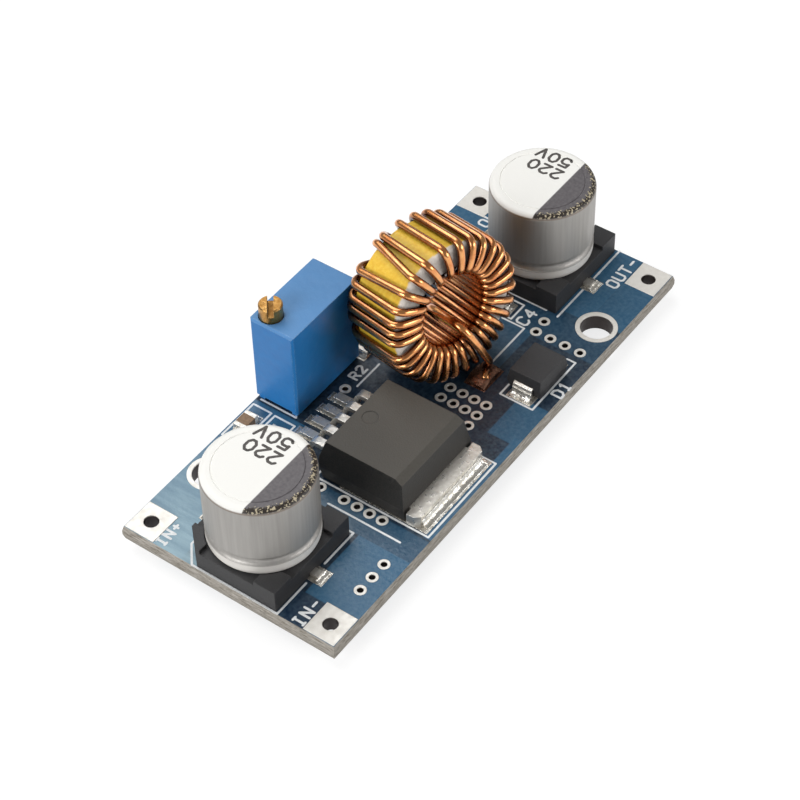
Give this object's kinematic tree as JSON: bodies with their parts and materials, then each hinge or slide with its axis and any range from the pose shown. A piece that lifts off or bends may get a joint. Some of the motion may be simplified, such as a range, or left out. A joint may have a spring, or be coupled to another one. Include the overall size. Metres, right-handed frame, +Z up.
{
  "type": "buck converter module",
  "caption": "Small step-down voltage regulator board with a hand-wound toroidal inductor, can capacitors, a tabbed regulator and a multi-turn trimmer.",
  "frame": {"origin": "middle of the board's outline, at the level of the trimmer's pin tips, which the module stands on", "axes": "+X towards the output end, +Y towards the long edge with the trimmer, +Z up through the board"},
  "size_m": [0.054, 0.023, 0.0182],
  "materials": {
    "blue_board": "glossy blue solder mask over glass-fibre laminate",
    "tin": "tin-plated copper",
    "black_plastic": "black moulded plastic",
    "aluminium_can": "satin aluminium",
    "moulded_black": "dark grey moulded epoxy",
    "tinned_metal": "tinned copper alloy",
    "core_coating": "yellow and white coated powdered-iron core",
    "enamelled_copper": "clear enamelled copper wire",
    "blue_plastic": "blue moulded plastic",
    "seal_resin": "potting resin",
    "brass": "turned brass",
    "chip_ceramic": "fired ceramic",
    "solder": "bright solder"
  },
  "bodies": {
    "module": {"circuit_board": "blue_board", "terminal_pads": "tin", "mounting_rings": "tin", "vias": "tin", "trimmer_pads": "tin", "solder_lands": "tin", "input_cap_base": "black_plastic", "input_cap_can": "aluminium_can", "input_cap_leads": "tin", "output_cap_base": "black_plastic", "output_cap_can": "aluminium_can", "output_cap_leads": "tin", "regulator_body": "moulded_black", "regulator_tab": "tinned_metal", "regulator_leads": "tinned_metal", "inductor_core": "core_coating", "inductor_winding": "enamelled_copper", "diode_body": "moulded_black", "diode_leads": "tinned_metal", "trimmer_housing": "blue_plastic", "trimmer_seal": "seal_resin", "trimmer_pins": "tinned_metal", "chip_bodies": "chip_ceramic", "chip_end_caps": "tinned_metal", "solder_joints": "solder"},
    "adjuster": {"trimmer_screw": "brass"}
  },
  "joints": [
    {"name": "adjuster_turn", "type": "hinge", "parent": "module", "child": "adjuster", "pos_m": [-0.00685, 0.01005, 0.0142], "axis": [0, 0, 1], "continuous": true}
  ]
}
